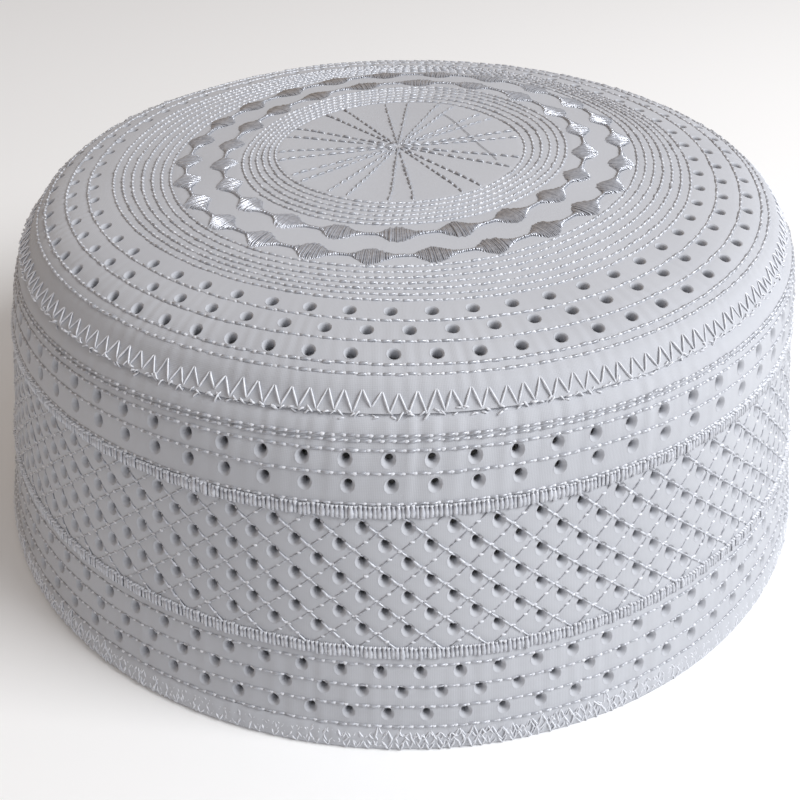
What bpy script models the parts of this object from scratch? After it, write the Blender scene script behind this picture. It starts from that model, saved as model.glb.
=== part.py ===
"""Kufi: a stiff round prayer cap with a flat crown, a flared side band and stitched trim.

Metres, +Z up. The rim rests on z = 0, the axis is x = y = 0 and the front faces -Y.
"""
import math

import bpy
import numpy as np

# Named sizes
RIM_RADIUS = 0.0920
CAP_HEIGHT = 0.0753
CLOTH = 0.0022
GAP = 0.0003
SEGMENTS = 60
SMOOTH_BELOW = math.radians(34.0)

# Hem binding, folded round the foot of the side band
HEM_HEIGHT = 0.0046
HEM_CLOTH = 0.0008

# Pierced rows of the crown. Columns: radius as a share of RIM_RADIUS, eyelets, turn of the first
# eyelet to the right of the front, as a share of the pitch
EYELET_RADIUS = 0.00095
EYELET_SIDES = 6
EYELET_ROWS = (
    (0.6580, 58, -0.29),
    (0.7080, 61, 0.20),
)

# Satin diamonds of the crown
SATIN_HEIGHT = 0.0008
STEPS_PER_DIAMOND = 4
DIAMOND_STEP_WIDTHS = (0.14, 0.46, 1.00, 0.46)

# Raised cords of the side band
CORD_PROUD = 0.0009

# Crown, outer face. Columns: radius as a share of RIM_RADIUS, height as a share of CAP_HEIGHT
CROWN_FACE = (
    (0.000, 1.0000),
    (0.283, 0.9963),
    (0.525, 0.9817),
    (0.628, 0.9680),
    (0.690, 0.9580),
    (0.763, 0.9365),
    (0.800, 0.9157),
    (0.822, 0.8950),
    (0.845, 0.8480),
)

# Side band, outer face from the seam down to the table. Columns as above
BAND_FACE = (
    (0.8485, 0.8430),
    (0.8600, 0.8200),
    (0.8715, 0.7900),
    (0.8845, 0.7335),
    (0.9210, 0.4890),
    (0.9580, 0.2445),
    (1.0000, 0.0000),
)

# Cords. Columns: node, lower edge and upper edge as shares of CAP_HEIGHT
CORDS = (
    ("lower_cord", 0.2640, 0.2950),
    ("upper_cord", 0.6335, 0.6680),
)

# Satin rings. Columns: node, mean radius and diamond width as shares of RIM_RADIUS, diamonds
SATIN_RINGS = (
    ("inner_satin_ring", 0.411, 0.052, 21),
    ("outer_satin_ring", 0.492, 0.052, 25),
)

# Materials. Columns: slot, colour, roughness
MATERIALS = (
    ("cloth", (0.84, 0.85, 0.88, 1.0), 0.72),
    ("thread", (0.93, 0.93, 0.95, 1.0), 0.38),
)


def clear_scene():
    for item in list(bpy.data.objects):
        bpy.data.objects.remove(item, do_unlink=True)


def make_materials():
    made = {}
    for slot, colour, roughness in MATERIALS:
        material = bpy.data.materials.new(slot)
        material.use_nodes = True
        shader = material.node_tree.nodes["Principled BSDF"]
        shader.inputs["Base Color"].default_value = colour
        shader.inputs["Roughness"].default_value = roughness
        made[slot] = material
    return made


def in_metres(table):
    return [(radius * RIM_RADIUS, height * CAP_HEIGHT) for radius, height in table]


def height_on(face, radius):
    """Height of a face, given as (radius, height) points, at one radius."""
    points = sorted(face)
    return float(np.interp(radius, [p[0] for p in points], [p[1] for p in points]))


def radius_on(face, height):
    points = sorted((z, r) for r, z in face)
    return float(np.interp(height, [p[0] for p in points], [p[1] for p in points]))


def inset(face, distance):
    """The face moved inward by a distance along its own normals, and down where it meets the axis."""
    points = np.array(face)
    steps = np.diff(points, axis=0)
    steps /= np.linalg.norm(steps, axis=1)[:, None]
    normals = np.stack([steps[:, 1], -steps[:, 0]], axis=1)
    joined = np.vstack([normals[:1], normals[:-1] + normals[1:], normals[-1:]])
    joined /= np.linalg.norm(joined, axis=1)[:, None]
    if points[0, 0] == 0.0:
        joined[0] = (0.0, -1.0)
    return [tuple(point) for point in points + joined * distance]


def stand(radius, angle, height):
    """A point of the cap, its angle counted from the front towards +X."""
    return (radius * math.sin(angle), -radius * math.cos(angle), height)


def make_object(name, points, faces, material):
    mesh = bpy.data.meshes.new(name)
    mesh.from_pydata(points, [], faces)
    mesh.validate()
    mesh.materials.append(material)
    item = bpy.data.objects.new(name, mesh)
    bpy.context.scene.collection.objects.link(item)
    return item


def shade_smooth(item):
    item.data.shade_smooth()
    item.data.set_sharp_from_angle(angle=SMOOTH_BELOW)


def closed_band(sections):
    """Points and faces of a closed band, from one closed section for each angle."""
    around = len(sections)
    size = len(sections[0])
    points = [point for section in sections for point in section]
    faces = []
    for i in range(around):
        j = (i + 1) % around
        for k in range(size):
            m = (k + 1) % size
            faces.append((i * size + k, j * size + k, j * size + m, i * size + m))
    return points, faces


def turned_band(section):
    """A closed section of (radius, height) points turned round the axis."""
    angles = [math.tau * i / SEGMENTS for i in range(SEGMENTS)]
    return closed_band([[stand(r, angle, z) for r, z in section] for angle in angles])


def make_crown(material):
    outer = in_metres(CROWN_FACE)
    inner = inset(outer, CLOTH)
    inner[-1] = (inner[-1][0], outer[-1][1])
    section = outer[1:] + inner[:0:-1]
    size = len(section)
    angles = [math.tau * i / SEGMENTS for i in range(SEGMENTS)]
    points = [stand(r, angle, z) for angle in angles for r, z in section]
    top = len(points)
    points.append(stand(0.0, 0.0, outer[0][1]))
    points.append(stand(0.0, 0.0, inner[0][1]))
    faces = []
    for i in range(SEGMENTS):
        j = (i + 1) % SEGMENTS
        for k in range(size - 1):
            faces.append((i * size + k, i * size + k + 1, j * size + k + 1, j * size + k))
        faces.append((top, i * size, j * size))
        faces.append((top + 1, j * size + size - 1, i * size + size - 1))
    return make_object("crown", points, faces, material)


def make_eyelet_cutter(material):
    """One prism for each eyelet of the crown."""
    points = []
    faces = []
    low = CAP_HEIGHT - 10.0 * CLOTH
    high = CAP_HEIGHT + 2.0 * CLOTH
    for share, eyelets, turned in EYELET_ROWS:
        for i in range(eyelets):
            angle = math.tau * (i + turned) / eyelets
            x, y, _ = stand(share * RIM_RADIUS, angle, 0.0)
            first = len(points)
            for height in (low, high):
                for k in range(EYELET_SIDES):
                    turn = math.tau * k / EYELET_SIDES - angle
                    points.append((
                        x + EYELET_RADIUS * math.sin(turn),
                        y - EYELET_RADIUS * math.cos(turn),
                        height,
                    ))
            faces.append(tuple(first + k for k in reversed(range(EYELET_SIDES))))
            faces.append(tuple(first + EYELET_SIDES + k for k in range(EYELET_SIDES)))
            for k in range(EYELET_SIDES):
                m = (k + 1) % EYELET_SIDES
                faces.append((
                    first + k,
                    first + m,
                    first + EYELET_SIDES + m,
                    first + EYELET_SIDES + k,
                ))
    cutter = make_object("eyelet_cutter", points, faces, material)
    cutter.hide_render = True
    cutter.display_type = "WIRE"
    return cutter


def pierce(item, cutter):
    cut = item.modifiers.new("eyelets", "BOOLEAN")
    cut.operation = "DIFFERENCE"
    cut.solver = "EXACT"
    cut.object = cutter


def make_side_band(material):
    """The wall. A lip under the crown closes the seam, and the foot is set back for the hem."""
    crown = in_metres(CROWN_FACE)
    seam = crown[-1][1] - GAP
    wall = in_metres(BAND_FACE)
    lining = inset(wall, CLOTH)
    lip_outside = inset(crown, CLOTH + GAP)[-3:]
    lip_inside = inset(crown, 2.0 * CLOTH + GAP)[-3:]
    ledge = (lip_outside[-1][0], seam)
    foot = HEM_CLOTH + GAP
    step = HEM_HEIGHT + GAP
    set_back = HEM_CLOTH + GAP
    section = [ledge, (wall[0][0], seam)] + wall[1:-1]
    section += [
        (radius_on(wall, step + set_back), step + set_back),
        (radius_on(wall, step) - set_back, step),
        (radius_on(wall, foot) - set_back, foot),
        (radius_on(wall, foot) - CLOTH, foot),
    ]
    section += lining[-2:1:-1]
    section += [lip_inside[1], lip_inside[0], lip_outside[0], lip_outside[1]]
    points, faces = turned_band(section[::-1])
    return make_object("side_band", points, faces, material)


def make_hem(material):
    wall = in_metres(BAND_FACE)
    inside = CLOTH + GAP
    floor = HEM_CLOTH
    corner = 0.5 * HEM_CLOTH
    at_top = radius_on(wall, HEM_HEIGHT)
    at_floor = radius_on(wall, floor)
    section = [
        (at_top, HEM_HEIGHT),
        (radius_on(wall, corner), corner),
        (RIM_RADIUS - corner, 0.0),
        (RIM_RADIUS - inside - corner, 0.0),
        (RIM_RADIUS - inside - HEM_CLOTH, corner),
        (at_top - inside - HEM_CLOTH, HEM_HEIGHT),
        (at_top - inside, HEM_HEIGHT),
        (at_floor - inside, floor),
        (at_floor - HEM_CLOTH, floor),
        (at_top - HEM_CLOTH, HEM_HEIGHT),
    ]
    points, faces = turned_band(section[::-1])
    return make_object("hem_edging", points, faces, material)


def make_cord(name, low_share, high_share, material):
    band = in_metres(BAND_FACE)
    low = low_share * CAP_HEIGHT
    high = high_share * CAP_HEIGHT
    section = []
    for part, proud in ((0.0, 0.0), (0.18, 0.8), (0.5, 1.0), (0.82, 0.8), (1.0, 0.0)):
        height = low + part * (high - low)
        section.append((radius_on(band, height) + GAP + proud * CORD_PROUD, height))
    points, faces = turned_band(section)
    return make_object(name, points, faces, material)


def make_satin_ring(name, radius_share, width_share, diamonds, material):
    crown = in_metres(CROWN_FACE)
    middle = radius_share * RIM_RADIUS
    widest = width_share * RIM_RADIUS
    around = diamonds * STEPS_PER_DIAMOND
    sections = []
    for i in range(around):
        angle = math.tau * i / around
        half = 0.5 * widest * DIAMOND_STEP_WIDTHS[i % STEPS_PER_DIAMOND]
        inside = middle - half
        outside = middle + half
        inside_floor = height_on(crown, inside) + GAP
        outside_floor = height_on(crown, outside) + GAP
        shoulder = 0.35 * half
        sections.append([
            stand(inside, angle, inside_floor),
            stand(outside, angle, outside_floor),
            stand(outside - shoulder, angle, outside_floor + SATIN_HEIGHT),
            stand(inside + shoulder, angle, inside_floor + SATIN_HEIGHT),
        ])
    points, faces = closed_band(sections)
    return make_object(name, points, faces, material)


def build():
    clear_scene()
    materials = make_materials()
    cloth = materials["cloth"]
    thread = materials["thread"]
    crown = make_crown(cloth)
    pierce(crown, make_eyelet_cutter(cloth))
    made = [crown, make_side_band(cloth), make_hem(thread)]
    for name, low_share, high_share in CORDS:
        made.append(make_cord(name, low_share, high_share, thread))
    for name, radius_share, width_share, diamonds in SATIN_RINGS:
        made.append(make_satin_ring(name, radius_share, width_share, diamonds, thread))
    for item in made:
        shade_smooth(item)


build()
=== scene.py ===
"""Looks of the kufi: pierced and quilted cloth, raised stitches, satin trim, light and camera.

Metres, +Z up. The cap rests on z = 0 and its front faces -Y. Angles start at the front and
grow towards +X. A place on the cap is an angle and a length along its outline, which is counted
from the middle of the crown, over the shoulder and down to the rim.
"""

import math

import bpy
import numpy as np
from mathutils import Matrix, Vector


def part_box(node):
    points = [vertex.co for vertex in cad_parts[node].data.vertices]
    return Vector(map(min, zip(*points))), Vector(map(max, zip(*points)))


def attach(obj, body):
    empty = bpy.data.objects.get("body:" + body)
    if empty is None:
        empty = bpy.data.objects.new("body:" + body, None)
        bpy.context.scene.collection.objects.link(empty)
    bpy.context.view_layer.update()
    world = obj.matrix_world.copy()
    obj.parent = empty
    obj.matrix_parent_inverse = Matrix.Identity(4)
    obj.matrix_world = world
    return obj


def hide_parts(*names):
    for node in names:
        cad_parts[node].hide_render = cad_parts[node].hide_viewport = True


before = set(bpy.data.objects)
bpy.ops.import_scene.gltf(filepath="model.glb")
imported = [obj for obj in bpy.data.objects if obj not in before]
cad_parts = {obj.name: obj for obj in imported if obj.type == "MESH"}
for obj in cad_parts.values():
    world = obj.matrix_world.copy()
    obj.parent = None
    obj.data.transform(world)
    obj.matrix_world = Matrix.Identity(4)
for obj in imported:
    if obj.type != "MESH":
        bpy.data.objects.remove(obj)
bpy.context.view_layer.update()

MM = 0.001
TAU = math.tau
rng = np.random.default_rng(11)

# Driving sizes, the first two read from the imported parts
rim_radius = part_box("hem_edging")[1].x
cap_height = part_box("crown")[1].z
CLOTH = 2.2 * MM
GRID = 0.72 * MM

# Outline of the cap. Columns: radius as a share of rim_radius, height as a share of cap_height
OUTLINE = (
    (0.0000, 1.0000),
    (0.1400, 0.9990),
    (0.2830, 0.9963),
    (0.4000, 0.9910),
    (0.5250, 0.9817),
    (0.6280, 0.9690),
    (0.7140, 0.9520),
    (0.7630, 0.9365),
    (0.8000, 0.9157),
    (0.8220, 0.8950),
    (0.8380, 0.8612),
    (0.8600, 0.8250),
    (0.8715, 0.7900),
    (0.8845, 0.7335),
    (0.9030, 0.6100),
    (0.9210, 0.4890),
    (0.9580, 0.2445),
    (0.9800, 0.1150),
    (1.0000, 0.0000),
)
SEAM_RADIUS = 0.8455
HEM_TOP = 0.0620
SHOULDER_LEAN = 0.9 * MM
SHOULDER_SPREAD = 11.0 * MM

# Uneven make. The stitched rings of the crown lie off its middle, the rows of the band climb a
# little towards +X, and the crown sags at the back on the -X side
RING_TURN = (-0.063, -0.035, -0.030)
RING_SLIP = (0.8 * MM, -1.74 * MM, 0.8 * MM)
BACK_SLIP = 2.6 * MM
ROW_CLIMB = (1.45 * MM, -1.0 * MM)
LOW_CLIMB = -0.45 * MM
EYELET_TURN = 0.080
BACK_LEAN = 1.1 * MM
BACK_SAG = 0.5 * MM
SAG_FADE = 16.0 * MM

# Where each unevenness begins, is full, fades and ends, as lengths along the outline
RING_SPAN = (20.0 * MM, 34.0 * MM, 50.0 * MM, 60.0 * MM)
HOLE_SPAN = (54.0 * MM, 60.0 * MM, 72.0 * MM, 77.0 * MM)
CLIMB_SPAN = (70.0 * MM, 79.0 * MM, 96.0 * MM, 110.0 * MM)

# Where the low rows start to climb, and where the shift of the spokes ends
LOW_START = (112.0 * MM, 126.0 * MM)
SPOKES_END = (22.0 * MM, 34.0 * MM)

# Close rows of running stitches on both sides of the satin rings. Columns: radius share of the
# first row, step to the next, rows, stitches in the first row, more in each next row, slant in mm
CLOSE_ROWS = (
    (0.2826, 0.0172, 6, 100, 6, 0.15),
    (0.5270, 0.0187, 7, 176, 8, 0.10),
)

# All running stitches round the crown. Columns: radius share, stitches, slant in mm
CROWN_STITCHES = tuple(
    (share + step * i, stitches + more * i, slant)
    for share, step, rows, stitches, more, slant in CLOSE_ROWS
    for i in range(rows)
) + (
    (0.6940, 208, 0.0),
    (0.7440, 226, 0.0),
    (0.7890, 243, 0.0),
    (0.8050, 246, 0.0),
)

# Running stitches round the side band. Columns: height share, stitches, slant in mm
BAND_STITCHES = (
    (0.8105, 264, 0.10),
    (0.8005, 264, 0.10),
    (0.7810, 266, 0.0),
    (0.7310, 268, 0.0),
    (0.6605, 270, 0.0),
    (0.2420, 288, 0.0),
    (0.1820, 290, 0.0),
    (0.1261, 293, 0.0),
    (0.0690, 296, 0.0),
)

# Eyelet rows of the crown. Columns: radius share, eyelets, first eyelet as a share of the pitch
CROWN_EYELETS = (
    (0.6700, 58, -0.29),
    (0.7185, 61, 0.145),
    (0.7705, 66, -0.26),
)

# Eyelet rows of the side band. Columns: height share, eyelets, first eyelet as above
UPPER_EYELETS = (
    (0.7620, 75, -0.40),
    (0.7040, 75, -0.29),
)
LOWER_EYELETS = (
    (0.2230, 81, -0.545),
    (0.1690, 82, -0.01),
    (0.1060, 83, -0.37),
)
LATTICE_EYELETS = 71
LATTICE_FIRST = 0.128
LATTICE_TOP = 0.6030
LATTICE_ROW = 0.0438
LATTICE_ROWS = 7
MIDDLE_EYELETS = tuple(
    (LATTICE_TOP - LATTICE_ROW * i, LATTICE_EYELETS, LATTICE_FIRST + 0.5 * (i % 2))
    for i in range(LATTICE_ROWS)
)

# Eyelets. Columns: half width round the cap, half width along the outline, drop of the throat,
# reach of the funnel in half widths, depth of the funnel, climb of the row towards +X
CROWN_HOLE = (0.95 * MM, 0.92 * MM, 0.00, 1.25, 0.26 * MM, 1.2 * MM)
BAND_HOLE = (0.66 * MM, 0.80 * MM, -0.06 * MM, 1.80, 0.80 * MM, 0.0)

# Inside of an eyelet. Columns: share of the way to the lining, width as a share of the mouth's
THROAT = ((0.25, 0.97), (0.60, 0.97))

# Lattice lines. Columns: way they lean, place between two eyelets as a share of the pitch,
# thread radius and rise in mm
LATTICE_LINES = ((1.0, 0.165, 0.23, 0.30), (-1.0, 0.50, 0.18, 0.16))
LATTICE_STITCHES = 16

# Satin cords. Columns: node, lower and upper edge as shares of cap_height, threads
CORDS = (
    ("lower_cord", 0.2605, 0.2885, 715),
    ("upper_cord", 0.6255, 0.6525, 690),
)

# Satin rings. Columns: node, radius share, width as a share of rim_radius, diamonds, threads in
# one diamond, first diamond as a share of the pitch
SATIN_RINGS = (
    ("inner_satin_ring", 0.4110, 0.059, 21, 36, -0.186),
    ("outer_satin_ring", 0.4920, 0.059, 25, 32, 0.436),
)
# One diamond. Columns: share of the pitch, share of the width
DIAMOND = (
    (0.00, 0.07),
    (0.06, 0.18),
    (0.14, 0.52),
    (0.23, 0.86),
    (0.33, 1.00),
    (0.42, 0.94),
    (0.52, 0.68),
    (0.62, 0.36),
    (0.72, 0.16),
    (0.82, 0.09),
    (1.00, 0.07),
)

# Spokes. Angles in degrees of the stitched lines that run from the middle of the crown
SPOKES = (
    -173, -150, -138, -114, -102, -82, -72, -54, -46, -30, -21, -3,
    7, 29, 39, 63, 75, 98, 106, 126, 134, 151, 159, 175,
)
SPOKE_SHIFT = (-0.75 * MM, -0.30 * MM)
SPOKE_STITCHES = 12

# The stray thread. Columns: angle in degrees, length along the outline in mm
STRAY_ROUTE = ((71.0, 21.0), (90.0, 17.2), (110.0, 16.2), (130.0, 17.2), (151.0, 20.6))

# Zigzag over the seam, its heights above the seam
ZIGZAGS = 171
ZIGZAG_TOP = 3.5 * MM
ZIGZAG_FOOT = 0.3 * MM
ZIGZAG_RAGGED = 0.20 * MM

# Stitches of the hem. Columns: how many, upper and lower end as shares of the hem, turn of the
# first as a share of the pitch
HEM_STITCHES = (
    (225, 0.10, 0.62, 0.0),
    (225, 0.30, 0.88, 0.45),
    (310, 0.50, 0.97, 0.2),
    (310, 0.12, 0.45, 0.7),
)

# Sewn threads. Columns: radius, rise over the cloth, how deep the ends dive in
RUNNING_THREAD = (0.30 * MM, 0.40 * MM, 0.26 * MM)
SPOKE_THREAD = (0.29 * MM, 0.40 * MM, 0.20 * MM)
STRAY_THREAD = (0.09 * MM, 0.02 * MM, -0.16 * MM)
ZIGZAG_THREAD = (0.19 * MM, 0.36 * MM, 0.14 * MM)
RAGGED_THREAD = (0.19 * MM, 0.42 * MM, 0.10 * MM)
CORD_THREAD = (0.42 * MM, 0.50 * MM, 0.06 * MM)
SATIN_THREAD = (0.24 * MM, 0.36 * MM, 0.04 * MM)
HEM_THREAD = (0.17 * MM, 0.30 * MM, 0.02 * MM)

# Grooves of the sewn cloth. Columns: depth, half width along the outline
STITCH_GROOVE = (0.16 * MM, 0.42 * MM)
LATTICE_GROOVE = (0.20 * MM, 0.45 * MM)
CORD_GROOVE = (0.30 * MM, 1.3 * MM)
SEAM_GROOVE = (0.35 * MM, 0.5 * MM)
FOLDED_EDGE = 0.22 * MM

# Puckers and slow waves. Columns: height, fewest and most waves round the cap, waves in the sum,
# how much they lean
UPPER_PUCKERS = (0.13 * MM, 120, 300, 14, 60.0)
CROWN_PUCKERS = (0.055 * MM, 90, 260, 14, 40.0)
LOWER_PUCKERS = (0.055 * MM, 100, 250, 12, 90.0)
WALL_WAVES = (0.28 * MM, 3, 12, 7, 70.0)
TOP_WAVES = (0.16 * MM, 2, 9, 6, 60.0)
HEM_WAVES = (0.10 * MM, 90, 260, 10, 0.0)

# Cloth sheets: columns of the grid, step between two sheets, distance of the last from the rim,
# and the radius at which the weave has its true size
COLUMNS = 800
HEM_COLUMNS = 720
SHEET_STEP = 0.02 * MM
SHEET_FOOT = 1.2 * MM
WEAVE_RADIUS = 80.0 * MM


def smooth_line(points, samples=24):
    """A Catmull-Rom curve through the points."""
    points = np.array(points, float)
    first = 2 * points[:1] - points[1:2]
    last = 2 * points[-1:] - points[-2:-1]
    held = np.vstack([first, points, last])
    t = np.linspace(0.0, 1.0, samples, endpoint=False)[:, None]
    parts = []
    for a, b, c, d in zip(held, held[1:], held[2:], held[3:]):
        parts.append(0.5 * (
            2 * b + (c - a) * t + (2 * a - 5 * b + 4 * c - d) * t**2
            + (3 * b - a - 3 * c + d) * t**3
        ))
    return np.vstack(parts + [points[-1:]])


# The outline's own values, by length along it
line = smooth_line([(r * rim_radius, z * cap_height) for r, z in OUTLINE])
line_along = np.concatenate([[0.0], np.cumsum(np.hypot(*np.diff(line, axis=0).T))])
line_way = np.gradient(line, line_along, axis=0)
line_way /= np.linalg.norm(line_way, axis=1)[:, None]


def along_at_radius(share):
    upper = line[:, 0] <= SEAM_RADIUS * rim_radius * 1.01
    return float(np.interp(share * rim_radius, line[upper, 0], line_along[upper]))


def along_at_height(share):
    return float(np.interp(-share * cap_height, -line[:, 1], line_along))


def radius_at(along):
    return np.interp(along, line_along, line[:, 0])


SEAM = along_at_radius(SEAM_RADIUS)
HEM = along_at_height(HEM_TOP)
RIM = float(line_along[-1])


def rise(value, start, end):
    t = np.clip((value - start) / (end - start), 0.0, 1.0)
    return t * t * (3.0 - 2.0 * t)


def within(value, span):
    """1 inside a span, falling to 0 at both of its ends."""
    return rise(value, *span[:2]) * (1.0 - rise(value, *span[2:]))


def uneven(angle, along):
    """Where a stitched place really lies: its angle and its length along the outline."""
    rings = within(along, RING_SPAN)
    holes = within(along, HOLE_SPAN)
    climb = within(along, CLIMB_SPAN)
    low = rise(along, *LOW_START)
    turn_holes = EYELET_TURN * (1.0 - np.cos(angle))
    turn = (
        RING_TURN[0] * np.sin(angle) + RING_TURN[1] * np.cos(angle)
        + RING_TURN[2] * np.cos(2.0 * angle)
    )
    slip = (
        RING_SLIP[0] * np.sin(angle) + RING_SLIP[1] * np.sin(2.0 * angle)
        + RING_SLIP[2] * np.cos(2.0 * angle) + BACK_SLIP * (0.5 - 0.5 * np.cos(angle)) ** 8
    )
    up = ROW_CLIMB[0] * np.sin(angle) + ROW_CLIMB[1] * np.sin(angle) ** 2
    along = along + rings * slip - climb * up - low * LOW_CLIMB * np.sin(angle)
    return angle + rings * turn + holes * turn_holes, along


def place(angle, along, lift):
    """Points at an angle and a length along the outline, raised by lift from the outline."""
    angle, along = uneven(angle, along)
    radius = np.interp(along, line_along, line[:, 0])
    height = np.interp(along, line_along, line[:, 1])
    way_r = np.interp(along, line_along, line_way[:, 0])
    way_z = np.interp(along, line_along, line_way[:, 1])
    radius = radius - lift * way_z
    height = height + lift * way_r
    lean = SHOULDER_LEAN * np.exp(-(((along - SEAM) / SHOULDER_SPREAD) ** 2))
    back = 0.5 - 0.5 * np.cos(angle)
    edge = rise(along, 0.0, SEAM) * (1.0 - rise(along, SEAM, SEAM + SAG_FADE))
    middle = 1.0 - rise(along, *SPOKES_END)
    return np.stack([
        radius * np.sin(angle) + lean + SPOKE_SHIFT[0] * middle,
        -radius * np.cos(angle) + SPOKE_SHIFT[1] * middle,
        height + edge * back * (BACK_LEAN * np.sin(angle) - BACK_SAG * back),
    ], axis=-1)


def ripple(angle, along, waves):
    """A sum of waves round the cap, about 1 high, the same on every run."""
    _, low, high, terms, skew = waves
    draw = np.random.default_rng(low * 31 + high)
    total = np.zeros(np.broadcast(angle, along).shape)
    for _ in range(terms):
        count = int(draw.integers(low, high))
        turn = draw.uniform(0.0, TAU)
        lean = draw.uniform(-skew, skew)
        total += np.cos(count * angle + turn + lean * along)
    return total / math.sqrt(0.5 * terms) / 1.6


def rows_along():
    """Every eyelet row as (length along the outline, eyelets, first eyelet, hole)."""
    rows = [
        (along_at_radius(share), count, first, CROWN_HOLE)
        for share, count, first in CROWN_EYELETS
    ]
    for share, count, first in UPPER_EYELETS + MIDDLE_EYELETS + LOWER_EYELETS:
        rows.append((along_at_height(share), count, first, BAND_HOLE))
    return rows


EYELET_ROWS = rows_along()
STITCH_ROWS = [(along_at_radius(share), count, slant) for share, count, slant in CROWN_STITCHES]
STITCH_ROWS += [(along_at_height(share), count, slant) for share, count, slant in BAND_STITCHES]
CORD_ROWS = [(along_at_height(high), along_at_height(low)) for _, low, high, _ in CORDS]


def nearest_eyelet(angle, along):
    """How near the closest eyelet is, 1 at its funnel's edge, and what is known of that eyelet.

    That is the way from its middle round the cap and along the outline, its own angle and row,
    and the reach and depth of its funnel.
    """
    best = np.full(angle.shape, 100.0)
    found = [np.zeros(angle.shape) for _ in range(6)]
    for row, count, first, (half_round, half_along, _, reach, depth, climb) in EYELET_ROWS:
        step = TAU / count
        turn = (angle - first * step + 0.5 * step) % step - 0.5 * step
        across = turn * radius_at(row)
        lies = row - climb * np.sin(angle - turn)
        down = along - lies
        distance = np.hypot(across / half_round, down / half_along) / reach
        nearer = distance < best
        best = np.where(nearer, distance, best)
        for values, value in zip(found, (across, down, angle - turn, lies, reach, depth)):
            values[nearer] = value[nearer] if np.ndim(value) else value
    return best, found


def lattice_place(angle, along):
    """The place in the lattice: pitches round from an eyelet, and rows down from the top row."""
    top = along_at_height(LATTICE_TOP)
    row = along_at_height(LATTICE_TOP - LATTICE_ROW) - top
    return angle * LATTICE_EYELETS / TAU - LATTICE_FIRST, (along - top) / row


def relief(angle, along):
    """How far the sewn cloth stands from the outline at a place."""
    angle, along = np.broadcast_arrays(np.asarray(angle, float), np.asarray(along, float))
    lift = np.zeros(angle.shape)

    # Grooves under the running stitches
    for row, count, _ in STITCH_ROWS:
        near = np.exp(-(((along - row) / STITCH_GROOVE[1]) ** 2))
        beat = 0.75 + 0.25 * np.cos(count * angle)
        lift -= STITCH_GROOVE[0] * near * beat

    # Grooves of the lattice
    upper_cord, lower_cord = CORD_ROWS[1], CORD_ROWS[0]
    inside = rise(along, upper_cord[1], upper_cord[1] + 0.4 * MM)
    inside *= 1.0 - rise(along, lower_cord[0] - 0.4 * MM, lower_cord[0])
    pitch, row = lattice_place(angle, along)
    for way, share, _, _ in LATTICE_LINES:
        off = pitch - way * 0.5 * row - share
        off = (off - np.round(off)) * TAU / LATTICE_EYELETS * radius_at(along) * 0.67
        lift -= LATTICE_GROOVE[0] * inside * np.exp(-((off / LATTICE_GROOVE[1]) ** 2))

    # Cloth drawn in under the satin cords
    for high, low in CORD_ROWS:
        middle = 0.5 * (high + low)
        lift -= CORD_GROOVE[0] * np.exp(-(((along - middle) / CORD_GROOVE[1]) ** 2))

    # Funnels round the eyelets
    distance, (_, _, _, _, reach, depth) = nearest_eyelet(angle, along)
    far = np.clip((distance * reach - 1.0) / np.maximum(reach - 1.0, 0.1), 0.0, 1.0)
    lift -= depth * (1.0 - far) ** 1.6

    # The crown's folded edge over the band
    edge = rise(along, SEAM - 2.4 * MM, SEAM - 0.8 * MM) * (along <= SEAM)
    lift += FOLDED_EDGE * edge
    below = (along - SEAM - 0.2 * MM) / SEAM_GROOVE[1]
    lift -= SEAM_GROOVE[0] * np.exp(-(below ** 2)) * (along > SEAM)

    # Puckers below the seam, on the crown's outer part and above the hem
    front = 0.30 + 0.45 * np.exp(-(((np.angle(np.exp(1j * (angle - 0.15)))) / 0.55) ** 2))
    upper = rise(along, SEAM - 1.0 * MM, SEAM + 1.0 * MM)
    upper *= 1.0 - 0.55 * rise(along, SEAM + 5.0 * MM, CORD_ROWS[1][0])
    upper *= 1.0 - rise(along, CORD_ROWS[1][0], CORD_ROWS[1][1])
    lift += UPPER_PUCKERS[0] * front * upper * ripple(angle, along, UPPER_PUCKERS)
    crown = within(along, (0.62 * rim_radius, 0.80 * rim_radius, SEAM - MM, SEAM + MM))
    lift += CROWN_PUCKERS[0] * crown * ripple(angle, along, CROWN_PUCKERS)
    lower = rise(along, CORD_ROWS[0][0], CORD_ROWS[0][1] + MM)
    lift += LOWER_PUCKERS[0] * lower * ripple(angle, along, LOWER_PUCKERS)

    # Slow unevenness of hand-stretched cloth
    wall = rise(along, SEAM, SEAM + 12.0 * MM) * (1.0 - 0.6 * rise(along, HEM, RIM))
    lift += WALL_WAVES[0] * wall * ripple(angle, along, WALL_WAVES)
    top = within(along, (8.0 * MM, 40.0 * MM, SEAM - 6.0 * MM, SEAM))
    lift += TOP_WAVES[0] * top * ripple(angle, along, TOP_WAVES)
    return lift


def surface(angle, along, lift=0.0):
    return place(angle, along, relief(angle, along) + lift)


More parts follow.
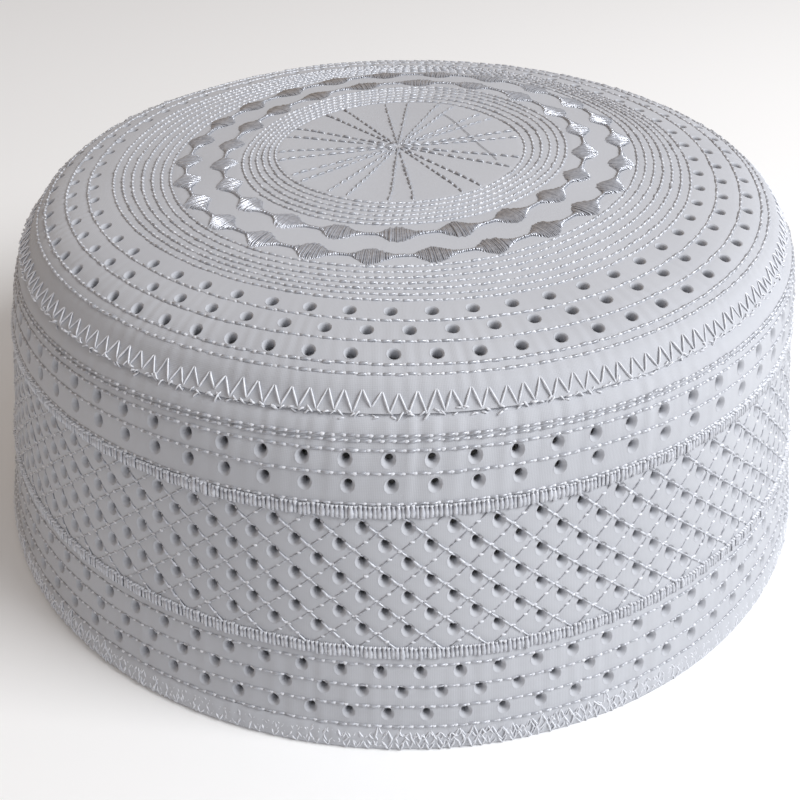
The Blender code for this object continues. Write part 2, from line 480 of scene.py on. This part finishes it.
def make_piece(name, points, quads, material, node=None, cloth_place=None):
    """A mesh of four-sided faces as one piece of the cap."""
    points = np.asarray(points, np.float32).reshape(-1, 3)
    quads = np.asarray(quads, np.int32).reshape(-1, 4)
    used = np.zeros(len(points), bool)
    used[quads] = True
    number = np.cumsum(used) - 1
    points = points[used]
    quads = number[quads].astype(np.int32)
    mesh = bpy.data.meshes.new(name)
    mesh.vertices.add(len(points))
    mesh.vertices.foreach_set("co", points.ravel())
    mesh.loops.add(quads.size)
    mesh.loops.foreach_set("vertex_index", quads.ravel())
    mesh.polygons.add(len(quads))
    mesh.polygons.foreach_set("loop_start", np.arange(0, quads.size, 4, dtype=np.int32))
    mesh.update(calc_edges=True)
    mesh.validate()
    mesh.shade_smooth()
    if cloth_place is not None:
        kept = np.asarray(cloth_place, np.float32).reshape(-1, 3)[used]
        if len(kept) == len(mesh.vertices):
            layer = mesh.attributes.new("cloth_place", "FLOAT_VECTOR", "POINT")
            layer.data.foreach_set("vector", kept.ravel())
    mesh.materials.append(material)
    item = bpy.data.objects.new(name, mesh)
    bpy.context.scene.collection.objects.link(item)
    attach(item, "root")
    if node:
        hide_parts(node)
    return item


def ring_quads(rows, columns, start=0, flip=False):
    """Faces between rows of points that run round the cap, as a grid that a mask can pick from."""
    i, j = np.meshgrid(np.arange(rows - 1), np.arange(columns), indexing="ij")
    k = (j + 1) % columns
    a = i * columns + j
    b = i * columns + k
    c = (i + 1) * columns + k
    d = (i + 1) * columns + j
    quads = np.stack([a, d, c, b] if not flip else [a, b, c, d], axis=-1)
    return quads + start


def holed_grid(low, high, columns, spacing, widen):
    """Angles and places of a grid between two lengths, and its faces, open at the eyelets."""
    rows = max(2, int(round((high - low) / spacing)) + 1)
    angle = np.broadcast_to(np.arange(columns) * TAU / columns, (rows, columns)).copy()
    along = np.broadcast_to(np.linspace(low, high, rows)[:, None], (rows, columns)).copy()
    middle_angle = angle[:-1] + 0.5 * TAU / columns
    middle_along = 0.5 * (along[:-1] + along[1:])
    distance, _ = nearest_eyelet(middle_angle, middle_along)
    keep = distance > widen
    touches = np.zeros((rows, columns), bool)
    open_face = ~keep
    for down in (0, 1):
        for over in (0, 1):
            touches[down:rows - 1 + down] |= np.roll(open_face, over, axis=1)
    distance, (across, down, eye_angle, eye_along, _, _) = nearest_eyelet(angle, along)
    snap = touches & (distance > 1e-6)
    scale = np.where(snap, widen / np.maximum(distance, 1e-6), 1.0)
    angle = np.where(snap, eye_angle + across * scale / radius_at(eye_along), angle)
    along = np.where(snap, eye_along + down * scale, along)
    return angle, along, keep


def eyelet_walls(low, high, sides=12, rings_outside=3):
    """Funnel and inside of each eyelet between two lengths, down to the lining."""
    points = []
    quads = []
    count = 0
    turn = np.arange(sides) * TAU / sides
    for middle, eyelets, first, (half_round, half_along, drop, reach, _, climb) in EYELET_ROWS:
        if not low <= middle <= high:
            continue
        eye = (np.arange(eyelets) + first) * TAU / eyelets
        row = middle - climb * np.sin(eye[:, None])
        widths = 1.0 + (1.03 * reach - 1.0) * np.linspace(1.0, 0.0, rings_outside + 1) ** 1.3
        steps = [(0.0, width) for width in widths] + list(THROAT) + [(1.0, 1.15)]
        rings = []
        for share, width in steps:
            angle = eye[:, None] + width * half_round * np.sin(turn) / radius_at(middle)
            fallen = min(1.0, 3.0 * share) * drop
            along = row + width * half_along * np.cos(turn) + fallen + np.zeros_like(angle)
            mouth = relief(
                eye[:, None] + max(width, 1.0) * half_round * np.sin(turn) / radius_at(middle),
                row + max(width, 1.0) * half_along * np.cos(turn) + np.zeros_like(angle),
            )
            lift = (1.0 - share) * mouth - share * CLOTH
            rings.append(place(angle, along, lift + 0.03 * MM * (width > reach)))
        rings = np.stack(rings, axis=1)
        deep = rings.shape[1]
        e, i, j = np.meshgrid(np.arange(eyelets), np.arange(deep - 1), np.arange(sides), indexing="ij")
        k = (j + 1) % sides
        base = count + e * deep * sides
        quads.append(np.stack([
            base + i * sides + j,
            base + i * sides + k,
            base + (i + 1) * sides + k,
            base + (i + 1) * sides + j,
        ], axis=-1).reshape(-1, 4))
        points.append(rings.reshape(-1, 3))
        count += eyelets * deep * sides
    return points, quads


def cloth_piece(name, low, high, columns, material, node=None, closed=()):
    """A pierced double cloth between two lengths: face, lining, eyelet walls and its ends."""
    angle, along, keep = holed_grid(low, high, columns, GRID, 1.0)
    face = surface(angle, along)
    face_quads = ring_quads(*angle.shape)[keep]
    places = [np.stack([angle * WEAVE_RADIUS, along, 0 * angle], axis=-1).reshape(-1, 3)]
    points = [face.reshape(-1, 3)]
    quads = [face_quads]
    count = angle.size

    back_angle, back_along, back_keep = holed_grid(low, high, columns // 2, 2.0 * GRID, 0.90)
    points.append(place(back_angle, back_along, -CLOTH).reshape(-1, 3))
    quads.append(ring_quads(*back_angle.shape, start=count, flip=True)[back_keep])
    back_places = np.stack([back_angle * WEAVE_RADIUS, back_along, 0 * back_angle], axis=-1)
    places.append(back_places.reshape(-1, 3))
    count += back_angle.size

    for end in closed:
        ring = np.arange(columns) * TAU / columns
        lifts = (relief(ring, np.full(columns, end)), np.full(columns, -CLOTH))
        strip = np.stack([place(ring, np.full(columns, end), lift) for lift in lifts])
        points.append(strip.reshape(-1, 3))
        quads.append(ring_quads(2, columns, start=count, flip=end == low).reshape(-1, 4))
        places.append(np.zeros((2 * columns, 3)))
        count += 2 * columns

    wall_points, wall_quads = eyelet_walls(low, high)
    for part, part_quads in zip(wall_points, wall_quads):
        points.append(part)
        places.append(np.zeros(part.shape))
    quads += [part_quads + count for part_quads in wall_quads]
    return make_piece(
        name, np.vstack(points), np.vstack([q.reshape(-1, 4) for q in quads]),
        material, node, np.vstack(places),
    )


def thread_mesh(start, end, radius, arch, sink, steps=4, sides=4, flat=1.0):
    """Short threads laid on the cloth, each from one (angle, along) place to another.

    A thread is flat along its middle and dives into the cloth at both ends.
    """
    a0, s0 = (np.asarray(v, float).ravel()[:, None] for v in start)
    a1, s1 = (np.asarray(v, float).ravel()[:, None] for v in end)
    t = np.linspace(-1.0, 1.0, steps)
    t = 0.5 + 0.5 * np.sign(t) * np.abs(t) ** 0.42
    angle = a0 + (a1 - a0) * t
    along = s0 + (s1 - s0) * t
    vary = 1.0 + 0.10 * rng.standard_normal(a0.shape)
    lift = arch * vary * (1.0 - np.abs(2.0 * t - 1.0) ** 5) - sink
    base = relief(angle, along) + lift
    centre = place(angle, along, base)
    up = place(angle, along, base + MM) - centre
    up /= np.linalg.norm(up, axis=-1, keepdims=True)
    way = np.gradient(centre, axis=1)
    way /= np.linalg.norm(way, axis=-1, keepdims=True)
    side = np.cross(way, up)
    side /= np.linalg.norm(side, axis=-1, keepdims=True)
    up = np.cross(side, way)
    thick = radius * vary * (0.70 + 0.30 * np.sin(math.pi * t))
    turn = np.arange(sides) * TAU / sides + 0.5 * math.pi
    ring = (
        centre[:, :, None]
        + thick[:, :, None, None] * np.cos(turn)[:, None] * side[:, :, None]
        + flat * thick[:, :, None, None] * np.sin(turn)[:, None] * up[:, :, None]
    )
    count = len(a0)
    n, i, j = np.meshgrid(np.arange(count), np.arange(steps - 1), np.arange(sides), indexing="ij")
    k = (j + 1) % sides
    base = n * steps * sides
    quads = np.stack([
        base + i * sides + j,
        base + i * sides + k,
        base + (i + 1) * sides + k,
        base + (i + 1) * sides + j,
    ], axis=-1)
    return ring.reshape(-1, 3), quads.reshape(-1, 4)


def thread_piece(name, meshes, material, node=None):
    points = []
    quads = []
    count = 0
    for part, part_quads in meshes:
        points.append(part)
        quads.append(part_quads + count)
        count += len(part)
    return make_piece(name, np.vstack(points), np.vstack(quads), material, node)


def bead_mesh(angle, along, across=0.34 * MM, radius=0.27 * MM, high=0.16 * MM):
    """The knots between stitches, where the thread comes up through the cloth."""
    angle, along = (np.asarray(v, float).ravel() for v in (angle, along))
    half = across / np.maximum(radius_at(along), MM)
    return thread_mesh(
        (angle - half, along), (angle + half, along), radius, high, 0.0, steps=3,
    )


def running_row(row, count, slant, fill=0.86):
    """One row of running stitches round the cap, and the knots between them."""
    number = np.arange(count) + 0.05 * rng.standard_normal(count)
    a0 = number * TAU / count
    a1 = a0 + fill * TAU / count
    drift = 0.05 * MM * rng.standard_normal(count)
    tilt = slant * MM
    row_mesh = thread_mesh(
        (a0, row + drift + tilt), (a1, row + drift - tilt), *RUNNING_THREAD
    )
    knot = a0 - 0.5 * (1.0 - fill) * TAU / count
    return row_mesh, bead_mesh(knot, np.full(count, row))


def stitch_rows(name, rows, thread, painted_highlight_thread):
    made = [running_row(*row) for row in rows]
    thread_piece(name + "_stitches", [row[0] for row in made], thread)
    # Knots take the lighter thread, a painted highlight.
    thread_piece(name + "_knots", [row[1] for row in made], painted_highlight_thread)


def spoke_stitches(material):
    """Twelve pairs of stitched lines from the middle of the crown to the first ring."""
    meshes = []
    first = 1.0 * MM
    last = along_at_radius(CLOSE_ROWS[0][0]) - 0.6 * MM
    step = (last - first) / SPOKE_STITCHES
    outside = np.linspace(0.0, 1.0, SPOKE_STITCHES)
    number = np.arange(SPOKE_STITCHES)
    for degrees in SPOKES:
        angle = math.radians(degrees) - RING_TURN[0] * math.sin(math.radians(degrees)) * outside
        start = first + (number + 0.06 * rng.standard_normal(SPOKE_STITCHES)) * step
        meshes.append(thread_mesh((angle, start), (angle, start + 0.80 * step), *SPOKE_THREAD))
    thread_piece("spoke_stitches", meshes, material)


def stray_thread(material):
    """A loose end that lies over the spokes at the right."""
    route = smooth_line(STRAY_ROUTE, 3)
    angle = np.radians(route[:, 0])
    along = route[:, 1] * MM
    mesh = thread_mesh((angle[:-1], along[:-1]), (angle[1:], along[1:]), *STRAY_THREAD)
    thread_piece("stray_thread", [mesh], material)


def lattice_stitches(thread, lighter, painted_highlight_thread):
    """Two families of slanted stitch lines, so that each eyelet sits in a diamond."""
    high = CORD_ROWS[1][1] - 0.3 * MM
    low = CORD_ROWS[0][0] + 0.3 * MM
    top = along_at_height(LATTICE_TOP)
    row = along_at_height(LATTICE_TOP - LATTICE_ROW) - top
    step = (low - high) / LATTICE_STITCHES
    line_number = np.arange(LATTICE_EYELETS)[:, None]
    knots = []
    # Lines leaning one way take the lighter cord thread, painted highlight for the lines whose
    # direction catches the light; the others take the darker stitch thread, painted shade.
    for name, (way, share, radius, arch), material in zip(
        ("lattice_right", "lattice_left"), LATTICE_LINES, (lighter, thread)
    ):
        number = np.arange(LATTICE_STITCHES)[None, :]
        number = number + 0.05 * rng.standard_normal((LATTICE_EYELETS, LATTICE_STITCHES))
        places = []
        for along in (high + number * step, high + (number + 0.84) * step):
            turn = LATTICE_FIRST + share + line_number + way * 0.5 * (along - top) / row
            places.append((turn * TAU / LATTICE_EYELETS, along))
        mesh = thread_mesh(places[0], places[1], radius * MM, arch * MM + 0.12 * MM, 0.14 * MM)
        thread_piece(name, [mesh], material)
        along = high + (number - 0.08) * step
        turn = LATTICE_FIRST + share + line_number + way * 0.5 * (along - top) / row
        knots.append(bead_mesh(turn * TAU / LATTICE_EYELETS, along))
    # Knots take the lighter thread, a painted highlight.
    thread_piece("lattice_knots", knots, painted_highlight_thread)


def seam_zigzag(material):
    """Zigzag stitches that hold the crown's edge down on the band."""
    pitch = TAU / ZIGZAGS
    number = np.arange(ZIGZAGS)
    tip = SEAM - ZIGZAG_TOP + ZIGZAG_RAGGED * rng.standard_normal(ZIGZAGS)
    ends = SEAM - ZIGZAG_FOOT + ZIGZAG_RAGGED * rng.standard_normal(ZIGZAGS + 1)
    ends[-1] = ends[0]
    middle = (number + 0.50 + 0.05 * rng.standard_normal(ZIGZAGS)) * pitch
    up_leg = thread_mesh((number * pitch, ends[:-1]), (middle, tip), *ZIGZAG_THREAD, steps=6)
    down_leg = thread_mesh(
        (middle + 0.05 * pitch, tip), ((number + 1) * pitch, ends[1:]), *ZIGZAG_THREAD, steps=6,
    )
    knots = 3 * ZIGZAGS
    lump = (np.arange(knots) + 0.4 * rng.standard_normal(knots)) * TAU / knots
    spread = 0.40 * MM * rng.standard_normal((2, knots))
    around = thread_mesh(
        (lump, SEAM + spread[0]), (lump + 0.9 * TAU / knots, SEAM + spread[1]), *RAGGED_THREAD,
    )
    thread_piece("seam_zigzag", [up_leg, down_leg, around], material)


def satin_cord(name, low, high, count, material, painted_highlight_thread):
    """A raised cord of close upright threads round the band."""
    top = along_at_height(high)
    bottom = along_at_height(low)
    number = np.arange(count) + 0.06 * rng.standard_normal(count)
    angle = number * TAU / count
    ragged = 0.10 * MM * rng.standard_normal((2, count))
    mesh = thread_mesh(
        (angle, top + ragged[0]), (angle + 0.15 * TAU / count, bottom + ragged[1]),
        *CORD_THREAD, steps=5, sides=5, flat=0.5,
    )
    thread_piece(name + "_threads", [mesh], material, name)
    # Beads along the top edge take the lighter thread: painted highlight on the cord's upper edge.
    edge = bead_mesh(angle, top - 0.15 * MM + ragged[0], 0.20 * MM, 0.30 * MM, 0.45 * MM)
    thread_piece(name + "_edge", [edge], painted_highlight_thread)


def satin_ring(name, radius_share, width_share, diamonds, threads, first, material):
    """A chain of satin diamonds, each thread laid from the inside to the outside of the ring."""
    count = diamonds * threads
    number = np.arange(count)
    share = (number % threads) / threads
    table = np.array(DIAMOND)
    half = 0.5 * width_share * rim_radius * np.interp(share, table[:, 0], table[:, 1])
    ragged = 1.0 + 0.05 * rng.standard_normal((2, count))
    middle = along_at_radius(radius_share)
    angle = (first * threads + number + 0.12 * rng.standard_normal(count)) * TAU / count
    lean = 0.35 * TAU / count
    mesh = thread_mesh(
        (angle - lean, middle - half * ragged[0]), (angle + lean, middle + half * ragged[1]),
        *SATIN_THREAD, steps=5, flat=0.7,
    )
    thread_piece(name + "_threads", [mesh], material, name)


def hem(cloth, thread):
    """The bound rim: a soft roll of cloth under dense, uneven edge stitches."""
    columns = HEM_COLUMNS
    angle = np.arange(columns) * TAU / columns
    top = HEM
    wave = HEM_WAVES[0] * ripple(angle, 0 * angle, HEM_WAVES)
    section = (
        (top - 0.3 * MM, -0.15),
        (top + 0.3 * MM, 0.18),
        (0.5 * (top + RIM), 0.26),
        (RIM - 0.8 * MM, 0.18),
        (RIM - 0.25 * MM, -0.05),
    )
    rows = [
        place(angle, np.full(columns, along), lift * MM + wave * (lift > 0))
        for along, lift in section
    ]
    for share in (0.45, 0.95, 1.05):
        inward = share * CLOTH + 0.5 * MM * (share > 1)
        ring = place(angle, np.full(columns, RIM), np.full(columns, -inward))
        ring[:, 2] = 0.0
        rows.append(ring)
    for along in (RIM - 1.0 * MM, top):
        rows.append(place(angle, np.full(columns, along), np.full(columns, -CLOTH - 0.35 * MM)))
    rows.append(place(angle, np.full(columns, top - 0.3 * MM), np.full(columns, -CLOTH + 0.1 * MM)))
    points = np.stack(rows)
    points[:, :, 2] = np.maximum(points[:, :, 2], 0.0)
    make_piece(
        "hem_binding", points, ring_quads(len(rows), columns), cloth, "hem_edging",
    )

    meshes = []
    for count, high, low, shift in HEM_STITCHES:
        number = np.arange(count) + shift
        upper = top + (RIM - top) * (high + 0.09 * rng.standard_normal(count + 1))
        lower = top + (RIM - top) * np.clip(low + 0.07 * rng.standard_normal(count), 0.0, 0.97)
        start = number * TAU / count
        middle = start + (0.5 + 0.15 * rng.standard_normal(count)) * TAU / count
        end = start + 0.96 * TAU / count
        for leg in (((start, upper[:-1]), (middle, lower)), ((middle, lower), (end, upper[1:]))):
            meshes.append(thread_mesh(*leg, *HEM_THREAD, steps=3))
    thread_piece("hem_stitches", meshes, thread)


def node_at(tree, kind, **values):
    node = tree.nodes.new(kind)
    for name, value in values.items():
        setattr(node, name, value)
    return node


def cloth_material():
    """Close white cotton: fine weave and slubs in the bump, a slight drift in the colour."""
    material = bpy.data.materials.new("cloth_finish")
    material.use_nodes = True
    tree = material.node_tree
    link = tree.links.new
    shader = tree.nodes["Principled BSDF"]
    shader.inputs["Roughness"].default_value = 0.78
    shader.inputs["Specular IOR Level"].default_value = 0.30
    shader.inputs["Sheen Weight"].default_value = 0.12
    shader.inputs["Sheen Roughness"].default_value = 0.45

    where = node_at(tree, "ShaderNodeAttribute", attribute_name="cloth_place")
    coords = node_at(tree, "ShaderNodeTexCoord")
    weave = []
    for direction in ("X", "Y"):
        wave = node_at(tree, "ShaderNodeTexWave", bands_direction=direction)
        wave.inputs["Scale"].default_value = 1150.0
        wave.inputs["Distortion"].default_value = 1.2
        wave.inputs["Detail Scale"].default_value = 2.0
        link(where.outputs["Vector"], wave.inputs["Vector"])
        weave.append(wave)
    crossed = node_at(tree, "ShaderNodeMath", operation="MULTIPLY")
    link(weave[0].outputs["Fac"], crossed.inputs[0])
    link(weave[1].outputs["Fac"], crossed.inputs[1])

    slub = node_at(tree, "ShaderNodeTexNoise")
    slub.inputs["Scale"].default_value = 900.0
    slub.inputs["Detail"].default_value = 3.0
    link(coords.outputs["Object"], slub.inputs["Vector"])
    height = node_at(tree, "ShaderNodeMath", operation="ADD")
    link(crossed.outputs[0], height.inputs[0])
    link(slub.outputs["Fac"], height.inputs[1])
    bump = node_at(tree, "ShaderNodeBump")
    bump.inputs["Strength"].default_value = 0.22
    bump.inputs["Distance"].default_value = 0.10 * MM
    link(height.outputs[0], bump.inputs["Height"])
    link(bump.outputs["Normal"], shader.inputs["Normal"])

    drift = node_at(tree, "ShaderNodeTexNoise")
    drift.inputs["Scale"].default_value = 28.0
    drift.inputs["Detail"].default_value = 4.0
    link(coords.outputs["Object"], drift.inputs["Vector"])
    colours = node_at(tree, "ShaderNodeValToRGB")
    colours.color_ramp.elements[0].position = 0.30
    colours.color_ramp.elements[0].color = (0.455, 0.462, 0.492, 1.0)
    colours.color_ramp.elements[1].position = 0.70
    colours.color_ramp.elements[1].color = (0.500, 0.508, 0.538, 1.0)
    link(drift.outputs["Fac"], colours.inputs["Fac"])
    link(colours.outputs["Color"], shader.inputs["Base Color"])
    return material


def thread_material(name, low, high, roughness, metallic):
    """Lustrous white filament, each strand a little lighter or darker than the next."""
    material = bpy.data.materials.new(name)
    material.use_nodes = True
    tree = material.node_tree
    link = tree.links.new
    shader = tree.nodes["Principled BSDF"]
    shader.inputs["Roughness"].default_value = roughness
    shader.inputs["Specular IOR Level"].default_value = 0.80
    shader.inputs["Metallic"].default_value = metallic
    coords = node_at(tree, "ShaderNodeTexCoord")
    strands = node_at(tree, "ShaderNodeTexNoise")
    strands.inputs["Scale"].default_value = 1400.0
    strands.inputs["Detail"].default_value = 2.0
    link(coords.outputs["Object"], strands.inputs["Vector"])
    colours = node_at(tree, "ShaderNodeValToRGB")
    colours.color_ramp.elements[0].position = 0.35
    colours.color_ramp.elements[0].color = (*low, 1.0)
    colours.color_ramp.elements[1].position = 0.65
    colours.color_ramp.elements[1].color = (*high, 1.0)
    link(strands.outputs["Fac"], colours.inputs["Fac"])
    link(colours.outputs["Color"], shader.inputs["Base Color"])
    bump = node_at(tree, "ShaderNodeBump")
    bump.inputs["Strength"].default_value = 0.30
    bump.inputs["Distance"].default_value = 0.06 * MM
    link(strands.outputs["Fac"], bump.inputs["Height"])
    link(bump.outputs["Normal"], shader.inputs["Normal"])
    return material


def build_cap():
    cloth = cloth_material()
    # The thread finishes are one white thread in painted tones. The stitch thread is darker than the
    # cloth: painted shade for the dark look of glossy filament.
    thread = thread_material("shaded_stitch_thread", (0.36, 0.37, 0.40), (0.49, 0.50, 0.54), 0.30, 0.20)
    # The knot thread is lighter than the cloth: painted highlight where the thread curves into the
    # cloth. The zigzag, cord edges and hem stitches take it too.
    painted_highlight_thread = thread_material("highlight_knot_thread", (0.64, 0.65, 0.69), (0.79, 0.80, 0.84), 0.32, 0.0)
    # The cord thread is a middle painted tone, lighter than the stitch thread, for the cords and for
    # the lattice lines that catch the light.
    cord = thread_material("half_lit_cord_thread", (0.46, 0.47, 0.51), (0.60, 0.61, 0.65), 0.32, 0.10)
    # The satin thread is darker than the cloth: painted shade for the dark look of glossy satin away
    # from its highlight.
    satin = thread_material("shaded_satin_thread", (0.40, 0.41, 0.45), (0.54, 0.55, 0.59), 0.27, 0.55)
    disc = along_at_radius(CLOSE_ROWS[0][0])
    middle = along_at_radius(CLOSE_ROWS[1][0])
    below = SEAM + SHEET_STEP
    cords = [0.5 * (high + low) for high, low in CORD_ROWS]
    cloth_piece("crown_centre", SHEET_STEP, disc, COLUMNS // 4, cloth)
    cloth_piece("crown_middle", disc, middle, COLUMNS // 2, cloth)
    cloth_piece("crown_edge", middle, SEAM, COLUMNS, cloth, "crown", closed=(SEAM,))
    cloth_piece("band_upper", below, cords[1], COLUMNS, cloth, closed=(below,))
    cloth_piece("band_middle", cords[1], cords[0], COLUMNS, cloth, "side_band")
    cloth_piece("band_lower", cords[0], RIM - SHEET_FOOT, COLUMNS, cloth)
    stitch_rows("crown", [row for row in STITCH_ROWS if row[0] < SEAM], thread, painted_highlight_thread)
    stitch_rows("band", [row for row in STITCH_ROWS if row[0] > SEAM], thread, painted_highlight_thread)
    spoke_stitches(thread)
    stray_thread(thread)
    lattice_stitches(thread, cord, painted_highlight_thread)
    # The zigzag takes the lighter thread, a painted highlight.
    seam_zigzag(painted_highlight_thread)
    for name, low, high, count in CORDS:
        satin_cord(name, low, high, count, cord, painted_highlight_thread)
    for name, radius, width, diamonds, threads, first in SATIN_RINGS:
        satin_ring(name, radius, width, diamonds, threads, first, satin)
    # The hem stitches take the lighter thread, a painted highlight.
    hem(cloth, painted_highlight_thread)


# Camera, from the photograph: heights and distances as shares of rim_radius
CAMERA_BACK = 2.265
CAMERA_UP = 1.748
CAMERA_SIDE = -0.004
CAMERA_DOWN = math.radians(35.8)
LENS_MM = 47.62
SENSOR_MM = 36.0

# Light: the key light, then the room's warm and cool sides and the way towards the cool one
KEY_WAY = (0.68, -0.25, 0.69)
KEY_DISTANCE = 1.0
KEY_SIZE = 0.45
KEY_POWER = 9.0
KEY_COLOUR = (0.97, 0.985, 1.0)
ROOM_WARM = (0.36, 0.26, 0.165, 1.0)
ROOM_COOL = (0.58, 0.63, 0.70, 1.0)
ROOM_WAY = (0.85, -0.53, 0.0)
FLOOR_HALF = 4.0


def make_camera():
    data = bpy.data.cameras.new("camera")
    data.lens = LENS_MM
    data.sensor_width = SENSOR_MM
    data.clip_start = 0.01
    data.clip_end = 20.0
    camera = bpy.data.objects.new("camera", data)
    bpy.context.scene.collection.objects.link(camera)
    camera.location = (CAMERA_SIDE * rim_radius, -CAMERA_BACK * rim_radius, CAMERA_UP * rim_radius)
    camera.rotation_euler = (0.5 * math.pi - CAMERA_DOWN, 0.0, 0.0)
    bpy.context.scene.camera = camera


def area_light(name, way, distance, size, power, colour):
    data = bpy.data.lights.new(name, "AREA")
    data.size = size
    data.energy = power
    data.color = colour
    item = bpy.data.objects.new(name, data)
    bpy.context.scene.collection.objects.link(item)
    unit = np.array(way) / np.linalg.norm(way)
    item.location = unit * distance
    pitch = math.acos(unit[2])
    item.rotation_euler = (0.0, pitch, math.atan2(unit[1], unit[0]))


def make_stage():
    corners = ((-1.0, -1.0), (1.0, -1.0), (1.0, 1.0), (-1.0, 1.0))
    points = [(FLOOR_HALF * x, FLOOR_HALF * y, 0.0) for x, y in corners]
    mesh = bpy.data.meshes.new("floor")
    mesh.from_pydata(points, [], [(0, 1, 2, 3)])
    material = bpy.data.materials.new("floor_finish")
    material.use_nodes = True
    shader = material.node_tree.nodes["Principled BSDF"]
    shader.inputs["Base Color"].default_value = (0.93, 0.93, 0.93, 1.0)
    shader.inputs["Roughness"].default_value = 0.9
    shader.inputs["Specular IOR Level"].default_value = 0.1
    mesh.materials.append(material)
    floor = bpy.data.objects.new("floor", mesh)
    bpy.context.scene.collection.objects.link(floor)


def make_light():
    area_light("key", KEY_WAY, KEY_DISTANCE, KEY_SIZE, KEY_POWER, KEY_COLOUR)
    world = bpy.data.worlds.new("room")
    bpy.context.scene.world = world
    world.use_nodes = True
    tree = world.node_tree
    background = tree.nodes["Background"]
    background.inputs["Strength"].default_value = 1.0
    coords = node_at(tree, "ShaderNodeTexCoord")
    toward = node_at(tree, "ShaderNodeVectorMath", operation="DOT_PRODUCT")
    toward.inputs[1].default_value = ROOM_WAY
    ramp = node_at(tree, "ShaderNodeValToRGB")
    scale = node_at(tree, "ShaderNodeMapRange")
    scale.inputs["From Min"].default_value = -1.0
    tree.links.new(coords.outputs["Generated"], toward.inputs[0])
    tree.links.new(toward.outputs["Value"], scale.inputs["Value"])
    tree.links.new(scale.outputs["Result"], ramp.inputs["Fac"])
    tree.links.new(ramp.outputs["Color"], background.inputs["Color"])
    ramp.color_ramp.elements[0].color = ROOM_WARM
    ramp.color_ramp.elements[1].color = ROOM_COOL
    bpy.context.scene.view_settings.view_transform = "Standard"


build_cap()
make_camera()
make_stage()
make_light()
